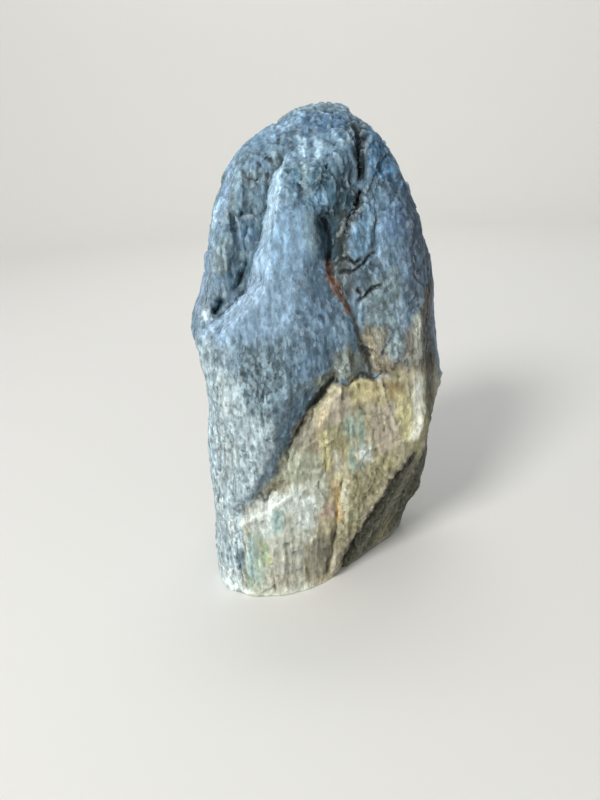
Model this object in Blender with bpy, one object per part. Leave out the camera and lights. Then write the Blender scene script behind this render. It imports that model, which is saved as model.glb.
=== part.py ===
"""Raw soapstone block: one rough upright stone with broken faces, standing on a flat base.

Metres, +Z up, the stone's front towards -Y. The origin is under the middle of the stone, on the
surface that it stands on. Run it with: blender --background --python part.py
"""

import bmesh
import bpy
import numpy as np
from mathutils import Matrix, Vector, noise

# Driving dimensions of the whole stone.
HEIGHT = 0.215
WIDTH = 0.121
DEPTH = 0.100
NAME = "soapstone_block"

# The stone's outline from the front and from the side. Each pair is a height, as a share of
# HEIGHT, and a place, as a share of half the WIDTH or of half the DEPTH.
LEFT_EDGE = (
    (-0.10, -0.96), (0.00, -1.02), (0.11, -1.01), (0.22, -0.98), (0.35, -0.99), (0.47, -0.96),
    (0.53, -0.97), (0.585, -1.03), (0.63, -0.98), (0.71, -0.88), (0.83, -0.74), (0.89, -0.67),
    (0.94, -0.54), (0.97, -0.28), (1.00, -0.05),
)
RIGHT_EDGE = (
    (-0.10, 0.61), (0.00, 0.74), (0.10, 0.82), (0.22, 0.87), (0.35, 0.92), (0.43, 1.08),
    (0.49, 0.99), (0.56, 0.94), (0.68, 0.91), (0.79, 0.76), (0.87, 0.64), (0.91, 0.58),
    (0.94, 0.42), (0.98, 0.27), (1.00, 0.17),
)
FRONT_EDGE = (
    (-0.10, -0.97), (0.00, -1.00), (0.25, -1.03), (0.47, -1.01), (0.60, -0.91), (0.72, -0.80),
    (0.83, -0.61), (0.90, -0.40), (0.96, -0.14), (1.00, 0.14),
)
BACK_EDGE = (
    (-0.10, 0.74), (0.00, 0.84), (0.20, 0.98), (0.47, 1.00), (0.63, 0.93), (0.78, 0.78),
    (0.88, 0.60), (0.95, 0.42), (1.00, 0.22),
)
SECTION_POWER = ((-0.10, 5.0), (0.05, 4.6), (0.30, 3.6), (0.60, 2.9), (1.00, 2.5))
THINNEST = 0.002
LEFT_SLANT = -0.45
RIGHT_SLANT = 0.40
LEFT_SEEN = -0.015
RIGHT_SEEN = 0.010
SLANT_TOP = 0.180
SLANT_FADE = 0.060

# Broken faces: a point on each, and the way that it faces.
BROKEN_FACES = (
    # Front: low left, high left, low right, high right.
    ((-0.044, -0.046, 0.075), (-0.35, -0.93, 0.05)),
    ((-0.015, -0.038, 0.150), (-0.25, -0.92, 0.30)),
    ((0.020, -0.038, 0.075), (0.34, -0.94, -0.07)),
    ((0.027, -0.026, 0.150), (0.33, -0.90, 0.27)),
    # The right side, and the face that undercuts the stone's right foot.
    ((0.0535, -0.004, 0.120), (0.94, -0.33, 0.05)),
    ((0.018, -0.0175, 0.000), (0.71, -0.71, -0.39)),
    # Back: middle right, middle left, high, low right, low left.
    ((0.015, 0.044, 0.120), (0.30, 0.94, 0.16)),
    ((-0.037, 0.034, 0.080), (-0.60, 0.79, 0.10)),
    ((-0.011, 0.036, 0.165), (-0.22, 0.84, 0.50)),
    ((0.035, 0.032, 0.040), (0.66, 0.70, -0.28)),
    ((-0.025, 0.043, 0.030), (-0.25, 0.92, -0.30)),
    # High on the left, and off the back of the tip.
    ((-0.051, 0.016, 0.150), (-0.86, 0.42, 0.30)),
    ((0.022, 0.032, 0.192), (0.45, 0.55, 0.70)),
)
FACE_ROUNDING = 0.0016

# Notches: the stone is broken away beyond all the planes of a notch. A point that the planes
# share, and the way that each faces.
NOTCHES = (
    ((0.011, 0.036, 0.128), ((0.25, 0.30, 0.92), (0.12, 0.97, 0.20), (-0.80, 0.55, 0.10))),
    ((-0.052, 0.020, 0.066), ((-0.62, 0.20, 0.70), (-0.90, 0.42, 0.10), (0.10, 0.97, 0.20))),
    ((0.049, 0.016, 0.150), ((0.97, 0.10, 0.22), (0.10, 0.60, -0.79), (0.20, 0.95, 0.10))),
)
UNDERSIDE = -0.012

# Forms sunk in the front, by height as above: a line across the front, and a depth in metres.
HOLLOW_RIM = (
    (0.59, -0.90), (0.66, -0.85), (0.72, -0.80), (0.79, -0.73), (0.85, -0.66), (0.90, -0.56),
    (0.95, -0.39),
)
HOLLOW_FOOT = (
    (0.59, -0.83), (0.62, -0.69), (0.65, -0.58), (0.69, -0.52), (0.76, -0.43), (0.81, -0.37),
    (0.86, -0.29), (0.95, -0.16),
)
HOLLOW_DEPTH = (
    (0.58, 0.000), (0.62, 0.007), (0.70, 0.010), (0.80, 0.009), (0.86, 0.006), (0.92, 0.0),
)
HOLLOW_WALL = 0.007

VALLEY_LINE = (
    (0.47, 0.34), (0.53, 0.32), (0.60, 0.24), (0.64, 0.17), (0.67, 0.07), (0.73, 0.05),
    (0.78, 0.08), (0.815, 0.18), (0.845, 0.23), (0.87, 0.28), (0.96, 0.30),
)
VALLEY_DEPTH = (
    (0.46, 0.0), (0.50, 0.002), (0.62, 0.003), (0.70, 0.005), (0.78, 0.006), (0.84, 0.004),
    (0.97, 0.002),
)
VALLEY_LEFT = ((0.46, 0.020), (0.70, 0.013), (0.78, 0.008), (0.97, 0.006))
VALLEY_RIGHT = ((0.46, 0.014), (0.70, 0.010), (0.78, 0.008), (0.97, 0.010))

LEDGE_LINE = (
    (0.17, -0.80), (0.20, -0.66), (0.23, -0.52), (0.27, -0.39), (0.31, -0.34), (0.36, -0.27),
    (0.41, -0.19), (0.45, -0.09), (0.49, 0.01), (0.54, 0.09), (0.60, 0.11),
)
SLATE_DEPTH = (
    (0.17, 0.0), (0.22, 0.003), (0.28, 0.005), (0.40, 0.006), (0.49, 0.0055), (0.55, 0.003),
    (0.62, 0.0),
)
SLATE_WIDTH = 0.014
LEDGE_RISE = 0.0055
LEDGE_TOP = 0.102
LEDGE_TOP_STEP = 0.0025
LEDGE_TOP_FADE = 0.016
LEDGE_TOP_FROM = -0.005
LEDGE_TOP_TO = 0.039
FRONT_FADE = 0.012
WANDER = 0.0030
WANDER_SIZE = 0.013

# Bulges on the back and sides, and lumps and grain all over: how high, and how wide, they are.
BULGE_HEIGHT = 0.0045
BULGE_SIZE = Vector((0.045, 0.045, 0.060))
BULGE_FADE = 0.030
LUMP_HEIGHT = 0.0018
LUMP_SIZE = Vector((0.030, 0.030, 0.045))
GRAIN_HEIGHT = 0.0012
GRAIN_SIZE = Vector((0.009, 0.009, 0.026))

# Mesh fineness. The cells are wrapped on from a point this share of HEIGHT up the stone.
MIDDLE = 0.45
CELL = 0.0018
TRIANGLES = 9400
CURVE_STEPS = 400
CURVE_ROUNDING = 15
HALVINGS = 30

STONE_COLOR = (0.23, 0.30, 0.34, 1.0)
STONE_ROUGHNESS = 0.85


def clear_scene():
    for old in list(bpy.data.objects):
        bpy.data.objects.remove(old, do_unlink=True)


def curve(knots, unit=1.0):
    """A function of height that runs through the knots, with its corners rounded."""
    heights, places = np.array(knots).T
    steps = np.linspace(heights[0], heights[-1], CURVE_STEPS)
    straight = np.pad(np.interp(steps, heights, places), CURVE_ROUNDING // 2, mode="edge")
    rounded = np.convolve(straight, np.ones(CURVE_ROUNDING) / CURVE_ROUNDING, mode="valid")
    return lambda z: unit * np.interp(z / HEIGHT, steps, rounded)


def smooth(share):
    """0 below 0, 1 above 1, and a smooth rise between them."""
    share = np.clip(share, 0.0, 1.0)
    return share * share * (3 - 2 * share)


def outside(points):
    """How far outside the stone's rough form each point is: 0 on its surface, less inside."""
    x, y, z = points.T
    slant = smooth((SLANT_TOP - z) / SLANT_FADE)
    left = curve(LEFT_EDGE, WIDTH / 2)(z + LEFT_SLANT * slant * (y - LEFT_SEEN))
    right = curve(RIGHT_EDGE, WIDTH / 2)(z + RIGHT_SLANT * slant * (y - RIGHT_SEEN))
    front, back = curve(FRONT_EDGE, DEPTH / 2)(z), curve(BACK_EDGE, DEPTH / 2)(z)
    half_width = np.maximum((right - left) / 2, THINNEST)
    half_depth = np.maximum((back - front) / 2, THINNEST)
    across = np.abs((x - (left + right) / 2) / half_width)
    along = np.abs((y - (front + back) / 2) / half_depth)
    power = curve(SECTION_POWER)(z)
    section = (across**power + along**power) ** (1 / power)
    sides = [(section - 1) * np.minimum(half_width, half_depth), z - HEIGHT, UNDERSIDE - z]
    for place, facing in BROKEN_FACES:
        sides.append((points - np.array(place)) @ np.array(Vector(facing).normalized()))
    for place, facings in NOTCHES:
        ways = np.array([Vector(facing).normalized() for facing in facings])
        sides.append(((points - np.array(place)) @ ways.T).min(axis=1))
    return FACE_ROUNDING * np.log(np.sum(np.exp(np.array(sides) / FACE_ROUNDING), axis=0))


def box_grid():
    """A closed box of even cells round the stone's middle, as a bmesh."""
    bm = bmesh.new()
    bmesh.ops.create_cube(bm, size=1.0, matrix=Matrix.Diagonal((WIDTH, DEPTH, HEIGHT, 1.0)))
    for axis, length in enumerate((WIDTH, DEPTH, HEIGHT)):
        edges = [edge for edge in bm.edges if edge.verts[0].co[axis] * edge.verts[1].co[axis] < 0]
        cuts = round(length / CELL) - 1
        bmesh.ops.subdivide_edges(bm, edges=edges, cuts=cuts, use_grid_fill=True)
    return bm


def wrap(bm):
    """Moves each point of the box out or in, straight from the middle, to the rough form."""
    middle = np.array((0.0, 0.0, HEIGHT * MIDDLE))
    spots = np.array([vert.co for vert in bm.verts])
    ways = spots / np.linalg.norm(spots, axis=1, keepdims=True)
    near = np.zeros(len(ways))
    far = np.full(len(ways), HEIGHT)
    for _ in range(HALVINGS):
        half = (near + far) / 2
        inside = outside(middle + ways * half[:, None]) < 0
        near = np.where(inside, half, near)
        far = np.where(inside, far, half)
    for vert, spot in zip(bm.verts, middle + ways * near[:, None]):
        vert.co = spot


def wander(spots):
    """Small sideways wander of the carved lines, so that none of them runs straight."""
    shifts = [noise.noise([p / WANDER_SIZE for p in spot]) for spot in spots]
    return WANDER * np.array(shifts)


def hollow(x, z):
    """The scooped hollow high on the left: its floor falls from the rim to a steep wall."""
    rim, foot = curve(HOLLOW_RIM, WIDTH / 2)(z), curve(HOLLOW_FOOT, WIDTH / 2)(z)
    floor = smooth((x - rim) / np.maximum(foot - rim, THINNEST))
    wall = 1 - smooth((x - foot) / HOLLOW_WALL)
    return curve(HOLLOW_DEPTH)(z) * np.minimum(floor, wall)


def valley(x, z):
    """The cleft down the middle, steep on its left side and open on its right."""
    gap = x - curve(VALLEY_LINE, WIDTH / 2)(z)
    width = np.where(gap < 0, curve(VALLEY_LEFT)(z), curve(VALLEY_RIGHT)(z))
    return curve(VALLEY_DEPTH)(z) * (1 - smooth(np.abs(gap) / width))


def ledge(x, z):
    """The slope that sinks to the lower mass's raised edge, and the step along its top."""
    gap = x - curve(LEDGE_LINE, WIDTH / 2)(z)
    slope = np.clip(1 + gap / SLATE_WIDTH, 0.0, 1.0)
    rise = 1 - smooth(gap / LEDGE_RISE)
    sunk = curve(SLATE_DEPTH)(z) * np.minimum(slope, rise)
    above = z - LEDGE_TOP
    step = np.minimum(smooth(1 + above / LEDGE_RISE), smooth(1 - above / LEDGE_TOP_FADE))
    starts = smooth((x - LEDGE_TOP_FROM) / LEDGE_TOP_FADE)
    ends = smooth((LEDGE_TOP_TO - x) / LEDGE_TOP_FADE)
    return np.maximum(sunk, LEDGE_TOP_STEP * step * np.minimum(starts, ends))


def carve(bm):
    """Sinks the hollow, the cleft and the ledge into the front."""
    spots = np.array([vert.co for vert in bm.verts])
    x, y, z = spots.T
    x = x + wander(spots)
    z = z - wander(spots)
    sunk = np.maximum(np.maximum(hollow(x, z), valley(x, z)), ledge(x, z))
    for vert, depth in zip(bm.verts, sunk * smooth(-y / FRONT_FADE)):
        vert.co.y += depth


def relief(place, height, size):
    """The height of the relief at a place, for relief of one height and size."""
    return height * noise.noise([along / span for along, span in zip(place, size)])


def roughen(bm):
    """Lumps, and a steep grain that runs up the stone."""
    bm.normal_update()
    moves = []
    for vert in bm.verts:
        bulge = relief(vert.co, BULGE_HEIGHT, BULGE_SIZE) * smooth(vert.co.y / BULGE_FADE)
        lump = relief(vert.co, LUMP_HEIGHT, LUMP_SIZE)
        grain = relief(vert.co, GRAIN_HEIGHT, GRAIN_SIZE)
        moves.append(vert.normal * (float(bulge) + lump + grain))
    for vert, move in zip(bm.verts, moves):
        vert.co += move


def cut_base(bm):
    """Cuts the underside off flat at z = 0, so that the stone stands."""
    everything = bm.verts[:] + bm.edges[:] + bm.faces[:]
    cut = bmesh.ops.bisect_plane(
        bm, geom=everything, plane_co=(0, 0, 0), plane_no=(0, 0, 1), clear_inner=True
    )
    rim = [item for item in cut["geom_cut"] if isinstance(item, bmesh.types.BMEdge)]
    bmesh.ops.contextual_create(bm, geom=rim)
    bmesh.ops.triangulate(bm, faces=bm.faces[:])


def fit(mesh):
    """Gives the stone its exact size, with the middle of its box over the origin."""
    spots = np.array([vert.co for vert in mesh.vertices])
    low, high = spots.min(axis=0), spots.max(axis=0)
    x, y, _ = (low + high) / 2
    scale = Vector((WIDTH, DEPTH, HEIGHT, 1.0))
    for axis in range(3):
        scale[axis] /= high[axis] - low[axis]
    mesh.transform(Matrix.Diagonal(scale) @ Matrix.Translation((-x, -y, 0)))


def stone_material():
    material = bpy.data.materials.new("soapstone")
    material.use_nodes = True
    shader = material.node_tree.nodes["Principled BSDF"]
    shader.inputs["Base Color"].default_value = STONE_COLOR
    shader.inputs["Roughness"].default_value = STONE_ROUGHNESS
    shader.inputs["Metallic"].default_value = 0.0
    return material


def thin_out(stone):
    """Drops the points that flat places don't need, so the broken edges keep theirs."""
    modifier = stone.modifiers.new("Thin out", "DECIMATE")
    modifier.ratio = TRIANGLES / (2 * len(stone.data.polygons))
    bpy.context.view_layer.objects.active = stone
    bpy.ops.object.modifier_apply(modifier=modifier.name)


def build_stone():
    mesh = bpy.data.meshes.new(NAME)
    stone = bpy.data.objects.new(NAME, mesh)
    bpy.context.scene.collection.objects.link(stone)
    bm = box_grid()
    wrap(bm)
    carve(bm)
    roughen(bm)
    bm.to_mesh(mesh)
    bm.free()
    thin_out(stone)
    bm = bmesh.new()
    bm.from_mesh(mesh)
    cut_base(bm)
    bm.to_mesh(mesh)
    bm.free()
    fit(mesh)
    mesh.materials.append(stone_material())
    return stone


clear_scene()
build_stone()
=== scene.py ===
"""A raw soapstone block on a pale studio floor. Metres, +Z up, the block's front towards -Y."""

import math

import bpy
import numpy as np
from mathutils import Matrix, Vector, noise


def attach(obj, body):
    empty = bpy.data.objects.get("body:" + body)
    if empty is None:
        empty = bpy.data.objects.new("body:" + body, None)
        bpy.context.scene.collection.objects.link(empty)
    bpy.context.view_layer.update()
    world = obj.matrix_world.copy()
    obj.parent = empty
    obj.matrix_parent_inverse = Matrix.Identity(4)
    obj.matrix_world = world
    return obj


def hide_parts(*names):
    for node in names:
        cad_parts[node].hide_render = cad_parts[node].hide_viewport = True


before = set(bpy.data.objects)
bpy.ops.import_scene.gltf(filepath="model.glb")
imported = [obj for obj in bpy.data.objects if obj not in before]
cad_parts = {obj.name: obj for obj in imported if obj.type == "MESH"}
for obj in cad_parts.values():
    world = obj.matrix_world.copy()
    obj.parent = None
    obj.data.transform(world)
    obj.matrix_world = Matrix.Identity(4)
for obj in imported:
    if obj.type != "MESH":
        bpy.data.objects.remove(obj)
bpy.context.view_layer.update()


# THE BLOCK'S BODY
# One lump of raw soapstone, split out of the bed with wedges and never dressed. The solid's own
# surface is copied and made into an even skin of small cells, and its sawn look is rubbed off.

MM = 0.001
WELD = 0.01 * MM
CELL = 0.75 * MM
RUBBING = 4

rough_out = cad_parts["soapstone_block"]
stone = bpy.data.objects.new("stone", rough_out.data.copy())
bpy.context.scene.collection.objects.link(stone)
bpy.ops.object.select_all(action="DESELECT")
stone.select_set(True)
bpy.context.view_layer.objects.active = stone
stone.data.materials.clear()
bpy.ops.object.mode_set(mode="EDIT")
bpy.ops.mesh.select_all(action="SELECT")
bpy.ops.mesh.remove_doubles(threshold=WELD)
bpy.ops.mesh.customdata_custom_splitnormals_clear()
bpy.ops.object.mode_set(mode="OBJECT")

skin = stone.modifiers.new("Even skin", "REMESH")
skin.mode = "VOXEL"
skin.voxel_size = CELL
bpy.ops.object.modifier_apply(modifier=skin.name)
rub = stone.modifiers.new("Rub", "SMOOTH")
rub.factor = 0.5
rub.iterations = RUBBING
bpy.ops.object.modifier_apply(modifier=rub.name)


def read_skin():
    """The places of the skin's points, the pairs that share an edge, and how many each is in."""
    places = np.empty(len(stone.data.vertices) * 3, np.float32)
    stone.data.vertices.foreach_get("co", places)
    pairs = np.empty(len(stone.data.edges) * 2, np.int32)
    stone.data.edges.foreach_get("vertices", pairs)
    return (
        places.reshape(-1, 3).astype(float),
        pairs.reshape(-1, 2),
        np.bincount(pairs, minlength=len(stone.data.vertices)),
    )


spots, edges, neighbours = read_skin()


# THE CLEFTS, STEPS AND SLITS
# Where the block split, its clefts, steps and slits are sharper than the solid has them. Each is a
# line on the front or the back, in millimetres across and up, and the skin is cut or raised
# along it as with a chisel.


def rise(low, high, value):
    """0 below low, 1 above high, and a smooth rise between. It falls if low is the greater."""
    share = np.clip((value - low) / (high - low), 0.0, 1.0)
    return share * share * (3 - 2 * share)


def waves(size, seed=0.0):
    """Smooth noise from about -1 to 1. Size is its grain in metres, along x, y and z or alike."""
    return np.array([noise.noise(place) for place in (spots / size + seed).tolist()])


def wobble():
    """How far, in millimetres, a line strays across and up at each spot, so that none runs true."""
    wide = np.stack([waves(9 * MM, seed=3.0), waves(9 * MM, seed=8.0)], 1)
    narrow = np.stack([waves(4 * MM, seed=13.0), waves(4 * MM, seed=18.0)], 1)
    return wide + 0.6 * narrow


def front_share():
    """1 at the spots on the front and 0 at those behind, with a smooth change on the sides."""
    return rise(-6 * MM, 5 * MM, -spots[:, 1])


def back_share():
    """1 at the spots on the back and 0 at those in front, with a smooth change on the sides."""
    return rise(-2 * MM, 8 * MM, spots[:, 1])


front = front_share()
back = back_share()
jitter = wobble()


def beside(line, wander=1.6):
    """How many millimetres each spot is from a line, below 0 on the left of a line that runs
    down or under one that runs to the right, and how far along the line it is, from 0 to 1."""
    line = np.array(line, float)
    here = spots[:, [0, 2]] / MM + wander * jitter
    nearest = np.full(len(here), np.inf)
    side = np.zeros(len(here))
    along = np.zeros(len(here))
    steps = np.diff(line, axis=0)
    lengths = np.linalg.norm(steps, axis=1)
    walked = 0.0
    for start, step, length in zip(line, steps, lengths):
        share = np.clip((here - start) @ step / length**2, 0.0, 1.0)
        gap = here - start - share[:, None] * step
        distance = np.linalg.norm(gap, axis=1)
        closer = distance < nearest
        nearest = np.where(closer, distance, nearest)
        side = np.where(closer, np.sign(step[0] * gap[:, 1] - step[1] * gap[:, 0]), side)
        along = np.where(closer, (walked + share * length) / lengths.sum(), along)
        walked += length
    return side * nearest, along


def groove(line, depth, left, right, start=0.12, end=0.12, wander=1.6):
    """How deep, in millimetres, a groove along the line is at each spot. Left and right are how
    far its two walls reach, and start and end the shares of its length in which it runs out."""
    gap, along = beside(line, wander)
    wall = np.clip(1 - np.abs(gap) / np.where(gap < 0, left, right), 0.0, 1.0) ** 1.3
    return depth * wall * rise(0.0, start, along) * rise(0.0, end, 1 - along)


HOLLOW_FOOT = (
    (-12, 199), (-14, 192), (-18, 188), (-20, 182), (-20, 176), (-23, 169), (-25, 162),
    (-27, 155), (-30, 148), (-33, 142), (-39, 137), (-45, 132), (-50, 129),
)
HOLLOW_RIM = (
    (-12, 193), (-14, 187), (-15, 181), (-16, 175), (-18, 170), (-20, 164), (-20, 158), (-21, 152),
    (-23, 146), (-27, 141), (-32, 137), (-38, 133), (-46, 128),
)
HOLLOW_SLITS = (
    ((-30, 157), (-32, 151), (-34, 147), (-38, 142)),
    ((-42, 142), (-44, 137), (-48, 131)),
)
HOLLOW_FLUTES = (
    ((-34, 176), (-35, 168), (-34, 160)),
    ((-29, 172), (-31, 163), (-31, 156)),
    ((-40, 168), (-41, 158), (-40, 150)),
)
NOTCH = ((-29, 191), (-28, 187), (-25, 186), (-22, 187))
CREVICE = ((17, 213), (18, 206), (19, 199), (18, 193), (18, 187), (17, 182))
LOWER_CREVICE = ((19, 182), (17, 178), (15, 174), (13, 170), (11, 165), (9, 160))
CLEFT = ((-1, 178), (1, 172), (4, 166), (5, 159), (4, 152))
CLEFT_RIB = ((16, 181), (13, 175), (10, 169), (8, 162), (7, 156))
BLUE_PLANE = ((20, 178), (24, 168), (22, 158), (15, 152))
BROW = ((-14, 191), (-6, 183), (0, 177), (5, 174))
SEAM = ((3, 157), (4, 149), (7, 143), (11, 136), (14, 128), (18, 117), (20, 106), (21, 100))
SIDE_CRACKS = (
    ((6, 149), (9, 150), (13, 150), (17, 152), (21, 155), (24, 156)),
    ((7, 154), (11, 155), (14, 153), (18, 155)),
    ((13, 138), (17, 140), (20, 142), (26, 144)),
    ((14, 143), (17, 141)),
)
PANEL_EDGE = ((26, 175), (24, 166), (22, 158), (22, 151))
LEDGE = (
    (8, 105), (4, 105), (0, 103), (-3, 100), (-5, 96), (-10, 90), (-15, 80), (-20, 71), (-23, 64),
)
LEDGE_TAIL = ((-18, 75), (-22, 66), (-26, 58), (-32, 53), (-40, 48), (-49, 43))
LEDGE_LIP = (
    (13, 102), (6, 102), (2, 100), (-1, 98), (-3, 94), (-8, 88), (-12, 79), (-17, 70), (-21, 61),
    (-28, 52), (-37, 46), (-48, 40),
)
LEDGE_SHADOW = ((4, 105), (0, 102), (-4, 97), (-6, 92), (-11, 87), (-14, 81))
LEDGE_TOP = ((0, 104), (5, 107), (10, 104), (15, 107), (21, 103), (27, 107), (32, 105), (38, 107))
BLUE_LIP = ((-3, 112), (-8, 105), (-11, 98), (-14, 92))
STAINED_LIP = ((-17, 56), (-24, 53), (-31, 49), (-40, 42), (-46, 36))
LEFT_SPLIT = ((-40, 42), (-41, 32), (-42, 20), (-45, 8), (-46, 2))
RIGHT_ARRIS = ((28, 199), (36, 181), (39, 167), (42, 152), (44, 136), (45, 121))
RIM = ((43, 120), (41, 107), (44, 93), (43, 79), (40, 66))
CREASE = ((43, 68), (38, 61), (32, 53), (26, 43), (19, 31), (11, 18), (5, 6), (3, -2))
RUST_SPLIT = ((7, 64), (4, 50), (3, 40), (2, 30), (-1, 14), (-2, 4))
DIAGONALS = (
    ((12, 98), (16, 90), (19, 84), (22, 75)),
    ((20, 100), (24, 92), (28, 80), (30, 72)),
    ((28, 72), (24, 62), (18, 50), (10, 36)),
)
BACK_SPLIT = (
    (-14, 188), (-10, 172), (-11, 158), (-6, 146), (-3, 134), (3, 122), (4, 108), (9, 94), (8, 78),
)
BACK_STEP = ((44, 126), (34, 121), (22, 124), (10, 120), (-2, 127), (-12, 124), (-20, 130))
BACK_LEDGE = ((-50, 92), (-40, 86), (-28, 78), (-20, 66), (-10, 60), (0, 48), (12, 44), (24, 34))
BACK_CRACKS = (
    ((-36, 156), (-32, 142), (-33, 130), (-28, 118)),
    ((22, 176), (25, 162), (24, 148)),
    ((28, 100), (24, 86), (26, 72), (22, 60)),
    ((-26, 56), (-30, 42), (-29, 28)),
    ((2, 38), (6, 26), (5, 14)),
)

# The right shoulder and flank and the upper left lie a little off the solid's, and the wall of
# the hollow a little further left at its top.
x, y, z = spots.T / MM
near_wall = front * rise(12, 4, np.abs(beside(HOLLOW_FOOT)[0]))
spots[:, 0] += near_wall * MM * np.interp(
    z, (143, 150, 155, 162, 170, 178, 190, 197), (0, 0.6, 0, -0.8, -2.0, -2.6, -2.6, 0)
)
spots[:, 0] -= 3.2 * MM * rise(10, 30, x) * rise(155, 178, z) * rise(206, 192, z)
spots[:, 0] += MM * rise(28, 44, x) * np.interp(
    z,
    (70, 78, 84, 90, 96, 104, 121, 128, 134, 141, 152, 158, 167),
    (0, 1.2, -0.4, -1.0, -1.4, -2.3, -2.3, -1.2, -0.1, -0.3, -1.0, -1.6, 0),
)
spots[:, 0] += 1.0 * MM * rise(-8, -24, x) * rise(196, 204, z)
spots[:, 0] -= MM * rise(-28, -46, x) * np.interp(
    z, (118, 125, 131, 137, 150, 156, 160, 170, 178, 184), (0, 1.9, 1.5, 0, 0, 1.2, 0.6, 1.2, 1.2, 0)
)

# The numbers of a groove are its depth, the reach of its left wall and of its right one, the
# shares in which it runs in and out, and how far it strays. Lips, which stand proud, are subtracted.
sunk = groove(HOLLOW_FOOT, 3.6, 17, 1.9, 0.10, 0.08, 0.9)
for slit in HOLLOW_SLITS:
    sunk += groove(slit, 3.6, 2.6, 1.8, 0.3, 0.3, 0.6)
for flute in HOLLOW_FLUTES:
    sunk += groove(flute, 1.2, 1.8, 1.2, 0.3, 0.3, 1.0)
sunk += groove(NOTCH, 1.6, 1.0, 3.0, 0.2, 0.2, 0.4)
sunk += groove(CREVICE, 5.5, 3.2, 4.2, 0.04, 0.20, 0.9)
sunk += groove(LOWER_CREVICE, 4.0, 2.0, 2.6, 0.15, 0.25, 0.8)
sunk += groove(CLEFT, 5.2, 4.4, 4.8, 0.25, 0.12, 0.9)
sunk += groove(CLEFT_RIB, 1.2, 3.0, 2.4, 0.3, 0.3, 0.8)
sunk += groove(BLUE_PLANE, 0.8, 1.6, 2.0, 0.3, 0.3, 0.8)
sunk -= groove(HOLLOW_RIM, 2.4, 2.0, 10.0, 0.10, 0.2, 0.6)
sunk += groove(BROW, 1.3, 5.0, 1.5, 0.2, 0.2)
sunk += groove(SEAM, 2.0, 1.6, 2.8, 0.05, 0.20, 1.0)
for crack in SIDE_CRACKS:
    sunk += groove(crack, 1.9, 1.2, 1.6, 0.25, 0.25, 0.8)
sunk += groove(PANEL_EDGE, 0.9, 1.2, 4.0, 0.3, 0.1)
sunk += groove(LEDGE, 2.4, 8.0, 1.4, 0.05, 0.30, 1.0)
sunk += groove(LEDGE_TAIL, 0.6, 5.0, 2.4, 0.25, 0.30, 1.6)
sunk -= groove(LEDGE_LIP, 1.2, 2.0, 8.0, 0.1, 0.35, 1.0)
sunk += groove(LEDGE_SHADOW, 3.4, 4.2, 1.6, 0.15, 0.30, 1.2)
sunk -= groove(BLUE_LIP, 0.9, 5.0, 2.0, 0.3, 0.3)
sunk += groove(LEDGE_TOP, 2.0, 1.6, 7.0, 0.10, 0.35, 2.2)
sunk -= groove(STAINED_LIP, 1.3, 4.0, 3.0, 0.2, 0.2)
sunk += groove(LEFT_SPLIT, 0.5, 2.0, 2.5, 0.3, 0.3, 2.4)
sunk += groove(CREASE, 2.2, 1.4, 3.4, 0.08, 0.02, 0.8)
sunk += groove(RUST_SPLIT, 1.4, 3.0, 1.3, 0.15, 0.10, 1.0)
sunk -= groove(RIGHT_ARRIS, 1.0, 4.0, 3.0, 0.2, 0.2)
sunk -= groove(RIM, 1.1, 3.5, 2.0, 0.2, 0.2)
for diagonal in DIAGONALS:
    sunk += groove(diagonal, 0.8, 1.2, 2.2, 0.3, 0.3, 1.4)
spots[:, 1] += sunk * MM * front

# Behind, leaves of stone end in low steps, and a split runs down from the top.
sunk = groove(BACK_SPLIT, 3.0, 3.4, 1.6, 0.15, 0.30, 2.0)
sunk += groove(BACK_STEP, 2.4, 7.0, 1.4, 0.20, 0.30, 2.2)
sunk += groove(BACK_LEDGE, 2.8, 9.0, 1.6, 0.20, 0.25, 2.4)
for crack in BACK_CRACKS:
    sunk += groove(crack, 1.8, 1.4, 3.4, 0.3, 0.3, 2.0)
spots[:, 1] -= sunk * MM * back


# THE BROKEN SKIN
# Soapstone breaks in thin leaves that run up the block, so its faces are flaky: shallow dishes
# with sharp rims, small flat plates, low steps where a leaf ends, flutes, and weathered pits.


def facing():
    """Puts the skin's points where the spots are, and gives the way that each of them faces."""
    stone.data.vertices.foreach_set("co", spots.astype(np.float32).ravel())
    stone.data.update()
    ways = np.empty(len(spots) * 3, np.float32)
    stone.data.vertices.foreach_get("normal", ways)
    return ways.reshape(-1, 3).astype(float)


def leaning(degrees):
    """The points' places, turned so that what runs up the block leans this far to the right."""
    turn = math.radians(degrees)
    x, y, z = spots.T
    return np.stack(
        [x * math.cos(turn) - z * math.sin(turn), y, x * math.sin(turn) + z * math.cos(turn)], 1
    )


def rough_waves(size, seed=0.0, octaves=4, lean=0.0):
    """Noise with finer and finer waves on it, as a broken face has, leaning this many degrees."""
    return np.array(
        [noise.fractal(place, 0.9, 2.0, octaves) for place in (leaning(lean) / size + seed).tolist()]
    )


def dishes(size, seed):
    """The relief of shallow dishes, 0 in their middles and about half on the rims between."""
    return np.array([noise.voronoi(place)[0][0] ** 2 for place in (spots / size + seed).tolist()])


def plates(size, seed):
    """The relief of small flat plates at every spot, each plate leaning its own way."""
    heights = []
    for place in (spots / size + seed).tolist():
        centre = noise.voronoi(place)[1][0]
        lean = noise.cell_vector(centre * 37.0) - Vector((0.5, 0.5, 0.5))
        heights.append(lean.dot(Vector(place) - centre) + 0.5 * lean.z)
    return np.array(heights)


def leaves(size, steps, seed):
    """The relief of worn steps, as where thin leaves of stone end one behind another."""
    level = rough_waves(size, seed, 3) * steps
    whole = np.floor(level)
    return (whole + rise(0.80, 1.0, level - whole)) / steps


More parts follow.
